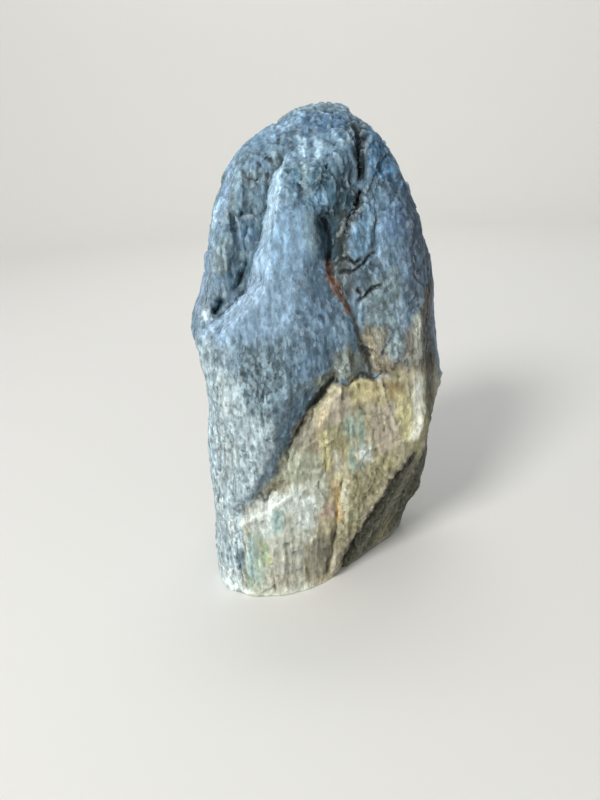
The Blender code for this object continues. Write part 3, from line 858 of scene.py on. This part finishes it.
# The strip up the right side is darkened with painted shade.
wash(SIDE_STRIP_SHADE, 0.88 * side_strip * rise(20, 60, z))
calm(0.22, np.maximum(undercut, side_strip))


# THE RUST UNDER THE CLEFT
# Iron seeps out of the cleft's foot. It has run down the seam below and dried there, rusty red
# at first and brown further down.

BRIGHT_RUST = (0.200, 0.095, 0.050)

vein(RUST, 0.95, ((3, 156), (4, 148), (7, 142), (10, 137), (12, 132)), 2.3, 0.8)
vein(BRIGHT_RUST, 0.6, ((5, 147), (8, 141), (10, 138)), 1.2, 0.8)
vein(BROWN, 0.75, ((12, 134), (15, 126), (17, 119)), 1.4, 0.8)


# THE BACK
# Behind, the same stone shows broad leaning bands, a seam of pale talc, and stains that iron has
# left down its splits. Its ledge and cracks are painted dark with shadow.

wash(LIGHT_BLUE, 0.70 * back * rise(0.05, 0.45, bands + 0.3 * mottled) * (1 - stained))
wash(WARM_GREY, 0.60 * back * rise(0.05, 0.45, 0.3 * mottled - bands) * (1 - stained))
wash(PALE_GREEN_GREY, 0.55 * back * rise(0.15, 0.55, cloudy - 0.4 * streaky) * (1 - bleached))
wash(INK_BLUE, 0.55 * back * rise(0.20, 0.60, -cloudy + 0.3 * streaky) * (1 - stained))
vein(BROWN, 0.75, BACK_SPLIT, 3.4, 2.0, back)
vein(RUST, 0.85, ((-3, 134), (3, 122), (4, 108), (9, 94)), 2.4, 2.0, back)
vein(RUSTY, 0.60, ((3, 118), (6, 96), (4, 74), (8, 50), (6, 30)), 8.0, 3.0, back)
vein(OLIVE_GREY, 0.60, ((30, 120), (32, 98), (28, 76), (30, 56)), 9.0, 3.0, back)
# Painted shade along the ledge's groove.
vein(DARK_BLUE, 0.80, BACK_LEDGE, 2.6, 2.4, back)
vein(ICE, 0.55, ((-52, 98), (-40, 92), (-27, 84), (-18, 72), (-8, 66)), 4.5, 2.4, back)
vein(CREAM, 0.80, ((-30, 170), (-16, 150), (2, 138), (20, 132), (40, 112)), 2.2, 2.6, back)
# The cracks are painted dark with shadow.
for crack in BACK_CRACKS:
    vein(SHADOW_BLACK, 0.65, crack, 1.8, 2.0, back)

# The back is a little greyer than the front.
BACK_GREYNESS = 0.22
tint += BACK_GREYNESS * back[:, None] * (tint.mean(axis=1, keepdims=True) - tint)


# WEAR AND DARKER DEEP PLACES
# Edges are rubbed pale by handling, what stands out is made paler, and what lies deep darker.
# Towards the top the stone is a little bluer.

WORN = (0.600, 0.680, 0.700)
SUNKEN_DARK = (0.020, 0.025, 0.025)
TOP_FRESHNESS = (-0.02, 0.05, 0.08)
BLACKEST = 0.008
PALEST = 0.95


def proud(rounds):
    """How many millimetres each spot stands out of the skin round it, wider with more rounds."""
    return ((spots - relaxed(spots, rounds)) * ways).sum(axis=1) / MM


hump = proud(6)
swell = proud(60)
tint *= 1 + np.outer(rise(140, 170, z), TOP_FRESHNESS)
# What stands out is made paler and what lies deep darker, and edges are rubbed pale.
tint *= (1 + 0.8 * np.clip(hump, -0.5, 0.5) + 0.12 * np.clip(swell, -2.5, 2.0))[:, None]
wash(WORN, 0.22 * rise(0.15, 0.5, hump))
wash(SUNKEN_DARK, 0.7 * rise(-0.18, -0.6, hump))
tint = np.clip(tint, BLACKEST, PALEST)

# What is nearly black shows less of the speckle.
calm(0.40, rise(0.070, 0.030, tint.mean(axis=1)))

tints = np.hstack([tint, np.ones((len(tint), 1))]).astype(np.float32)
tint_layer = stone.data.attributes.new("tint", "FLOAT_COLOR", "POINT")
tint_layer.data.foreach_set("color", tints.ravel())
lively_layer = stone.data.attributes.new("lively", "FLOAT", "POINT")
lively_layer.data.foreach_set("value", lively.astype(np.float32))


# THE STONE'S SURFACE
# Under the washes the stone is a felt of talc and dark grains, drawn out up the block. It is a
# dull, greasy stone with hardly any sheen.

TALC = (0.52, 0.60, 0.62, 1.0)
GRAIN_BLACK = (0.045, 0.065, 0.080, 1.0)
FLAKE = 1.25 * MM
LEAF_LEAN = (0.05, -0.10, 0.0)
ROUGHEST = 0.82
SMOOTHEST = 0.60
BUMP = 0.7 * MM
BUMP_STRENGTH = 0.5
SHEEN = 0.20

soapstone = bpy.data.materials.new("soapstone")
soapstone.use_nodes = True
tree = soapstone.node_tree
shader = tree.nodes["Principled BSDF"]


def made(kind, plugs, **settings):
    """A node with these settings. A plug takes a number, a colour, or another node's socket."""
    node = tree.nodes.new(kind)
    for name, value in settings.items():
        setattr(node, name, value)
    for name, value in plugs.items():
        if isinstance(value, bpy.types.NodeSocket):
            tree.links.new(value, node.inputs[name])
        else:
            node.inputs[name].default_value = value
    return node


def drawn_out(stretch):
    """The place on the stone, shortened this many times along its leaves, which lean a little, so
    that a pattern laid on it is drawn out up the block."""
    plugs = {"Vector": place, "Scale": (1.0, 1.0, 1.0 / stretch), "Rotation": LEAF_LEAN}
    return made("ShaderNodeMapping", plugs).outputs["Vector"]


def grain(size, stretch, detail, roughness=0.6):
    """Noise about 0.5, of this grain in metres, stretched this many times up the block."""
    plugs = {"Vector": drawn_out(stretch), "Scale": 1.0 / size, "Detail": detail, "Roughness": roughness}
    return made("ShaderNodeTexNoise", plugs).outputs["Fac"]


def between(value, low, high, at_low, at_high):
    """The value drawn from one range to another, and held at its ends."""
    plugs = {"Value": value, "From Min": low, "From Max": high, "To Min": at_low, "To Max": at_high}
    return made("ShaderNodeMapRange", plugs, interpolation_type="SMOOTHSTEP").outputs["Result"]


def figured(operation, first, second):
    """The outcome of the sum, difference or product of this name."""
    return made("ShaderNodeMath", {0: first, 1: second}, operation=operation).outputs["Value"]


def times(first, second):
    """The product of the two."""
    return figured("MULTIPLY", first, second)


def plus(first, second):
    """The sum of the two."""
    return figured("ADD", first, second)


def mixed(kind, share, first, second):
    """The first colour with this share of the second over it, blended in the way of this kind."""
    node = made("ShaderNodeMix", {"Factor": share}, data_type="RGBA", blend_type=kind)
    for plug, value in ((node.inputs[6], first), (node.inputs[7], second)):
        if isinstance(value, bpy.types.NodeSocket):
            tree.links.new(value, plug)
        else:
            plug.default_value = value
    return node.outputs[2]


place = made("ShaderNodeTexCoord", {}).outputs["Object"]
washes = made("ShaderNodeAttribute", {}, attribute_name="tint").outputs["Color"]
speckling = made("ShaderNodeAttribute", {}, attribute_name="lively").outputs["Fac"]
flake = made("ShaderNodeTexVoronoi", {"Vector": drawn_out(1.8), "Scale": 1.0 / FLAKE})
flake_shade = made("ShaderNodeSeparateColor", {"Color": flake.outputs["Color"]})
blotch = grain(3.0 * MM, 1.6, 7.0, 0.70)
fine = grain(1.1 * MM, 1.5, 4.0, 0.65)
foliation = grain(1.6 * MM, 11.0, 5.0, 0.62)
clouds = grain(9.0 * MM, 2.0, 3.0, 0.55)

# Blotches, leaves, clouds and flakes each make the washes darker or paler, where they are lively.
shade = times(between(blotch, 0.36, 0.64, 0.66, 1.36), between(foliation, 0.34, 0.66, 0.78, 1.24))
cloud_shade = between(clouds, 0.30, 0.70, 0.88, 1.12)
shade = times(shade, times(cloud_shade, between(flake_shade.outputs["Red"], 0.0, 1.0, 0.70, 1.30)))
shade = plus(times(figured("SUBTRACT", shade, 1.0), speckling), 1.0)
shaded = mixed("MULTIPLY", 1.0, washes, shade)

# A few flakes are pale talc, and the lowest places of the grain are dark.
talc = times(between(flake_shade.outputs["Green"], 0.86, 0.98, 0.0, 0.30), speckling)
flaked = mixed("MIX", talc, shaded, TALC)
dark_grain = between(plus(fine, times(blotch, 0.5)), 0.66, 0.56, 0.0, 0.75)
grained = mixed("MIX", times(dark_grain, speckling), flaked, GRAIN_BLACK)
tree.links.new(grained, shader.inputs["Base Color"])
tree.links.new(between(blotch, 0.35, 0.65, ROUGHEST, SMOOTHEST), shader.inputs["Roughness"])

height = plus(blotch, times(foliation, 0.5))
height = plus(height, times(fine, 0.30))
height = plus(height, times(flake_shade.outputs["Blue"], 0.10))
bump = made("ShaderNodeBump", {"Height": height, "Strength": BUMP_STRENGTH, "Distance": BUMP})
tree.links.new(bump.outputs["Normal"], shader.inputs["Normal"])
shader.inputs["Specular IOR Level"].default_value = SHEEN
stone.data.materials.append(soapstone)

bpy.ops.object.select_all(action="DESELECT")
stone.select_set(True)
bpy.context.view_layer.objects.active = stone
bpy.ops.object.shade_smooth()
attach(stone, "root")
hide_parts("soapstone_block")


# THE STUDIO
# A pale painted floor that sweeps up into a pale wall all round, as a display cove has. It isn't
# part of the block.

FLOOR_RADIUS = 1.3
FLOOR_SIDES = 96
FLOOR_GAP = 0.2 * MM
SWEEP = 0.5
SWEEP_STEPS = 8
COVE_TOP = 1.5
FLOOR_PAINT = (0.78, 0.77, 0.74, 1.0)
FLOOR_ROUGHNESS = 0.9

bpy.ops.object.select_all(action="DESELECT")
bpy.ops.mesh.primitive_circle_add(
    vertices=FLOOR_SIDES, radius=FLOOR_RADIUS, fill_type="NGON", location=(0, 0, -FLOOR_GAP)
)
floor = bpy.context.object
floor.name = "floor"
bpy.ops.object.mode_set(mode="EDIT")
bpy.ops.mesh.select_mode(type="EDGE")
bpy.ops.mesh.select_all(action="SELECT")
bpy.ops.mesh.region_to_loop()
for step in range(SWEEP_STEPS):
    before = math.radians(90 * step / SWEEP_STEPS)
    after = math.radians(90 * (step + 1) / SWEEP_STEPS)
    climb = SWEEP * (math.cos(before) - math.cos(after))
    widening = (FLOOR_RADIUS + SWEEP * math.sin(after)) / (FLOOR_RADIUS + SWEEP * math.sin(before))
    bpy.ops.mesh.extrude_edges_move(TRANSFORM_OT_translate={"value": (0, 0, climb)})
    bpy.ops.transform.resize(value=(widening, widening, 1.0))
bpy.ops.mesh.extrude_edges_move(TRANSFORM_OT_translate={"value": (0, 0, COVE_TOP - SWEEP)})
bpy.ops.mesh.select_all(action="SELECT")
bpy.ops.mesh.normals_make_consistent(inside=True)
bpy.ops.object.mode_set(mode="OBJECT")
bpy.ops.object.shade_smooth()
floor_paint = bpy.data.materials.new("floor paint")
floor_paint.use_nodes = True
floor_shader = floor_paint.node_tree.nodes["Principled BSDF"]
floor_shader.inputs["Base Color"].default_value = FLOOR_PAINT
floor_shader.inputs["Roughness"].default_value = FLOOR_ROUGHNESS
floor.data.materials.append(floor_paint)


# LIGHT AND CAMERA
# One big soft lamp high on the left in front, as a window would be, a second one that lights the
# wall behind, and a weak cool fill from all round. The camera stands close and a little above,
# and leans slightly.

BLOCK_MIDDLE = (0.0, 0.0, 0.105)
WINDOW_PLACE = (-0.62, -0.88, 0.95)
WALL_LAMP_PLACE = (0.0, 0.55, 1.40)
WALL_BEHIND = (0.0, 1.7, 0.35)
WINDOW_LIGHT = (1.0, 0.985, 0.96)
WALL_LIGHT = (1.0, 0.99, 0.97)
FILL_LIGHT = (0.86, 0.92, 1.0, 1.0)
FILL_STRENGTH = 0.38


def soft_lamp(name, spot, target, size, power, colour):
    """Hangs a round lamp at a spot, this wide in metres and this strong in watts, and turns it to
    shine on the target."""
    lamp = bpy.data.lights.new(name, "AREA")
    lamp.shape = "DISK"
    lamp.size = size
    lamp.energy = power
    lamp.color = colour
    holder = bpy.data.objects.new(name, lamp)
    bpy.context.scene.collection.objects.link(holder)
    way = Vector(spot) - Vector(target)
    holder.matrix_world = Matrix.Translation(spot) @ way.to_track_quat("Z", "Y").to_matrix().to_4x4()


soft_lamp("window lamp", WINDOW_PLACE, BLOCK_MIDDLE, size=0.40, power=14.6, colour=WINDOW_LIGHT)
soft_lamp("wall lamp", WALL_LAMP_PLACE, WALL_BEHIND, size=0.8, power=9.0, colour=WALL_LIGHT)
room = bpy.data.worlds.new("room")
room.use_nodes = True
fill = room.node_tree.nodes["Background"]
fill.inputs["Color"].default_value = FILL_LIGHT
fill.inputs["Strength"].default_value = FILL_STRENGTH
bpy.context.scene.world = room
bpy.context.scene.view_settings.view_transform = "Standard"

CAMERA_PLACE = (0.0005, -0.2755, 0.1987)
LOOK_DOWN = math.radians(23.0)
LOOK_LEFT = math.radians(2.8)
LEAN = math.radians(-3.6)
FOCAL_LENGTH = 27.0
SENSOR_WIDTH = 36.0

lens = bpy.data.cameras.new("camera")
lens.lens = FOCAL_LENGTH
lens.sensor_width = SENSOR_WIDTH
camera = bpy.data.objects.new("camera", lens)
bpy.context.scene.collection.objects.link(camera)
camera.matrix_world = (
    Matrix.Translation(CAMERA_PLACE)
    @ Matrix.Rotation(LOOK_LEFT, 4, "Z")
    @ Matrix.Rotation(math.pi / 2 - LOOK_DOWN, 4, "X")
    @ Matrix.Rotation(LEAN, 4, "Z")
)
bpy.context.scene.camera = camera
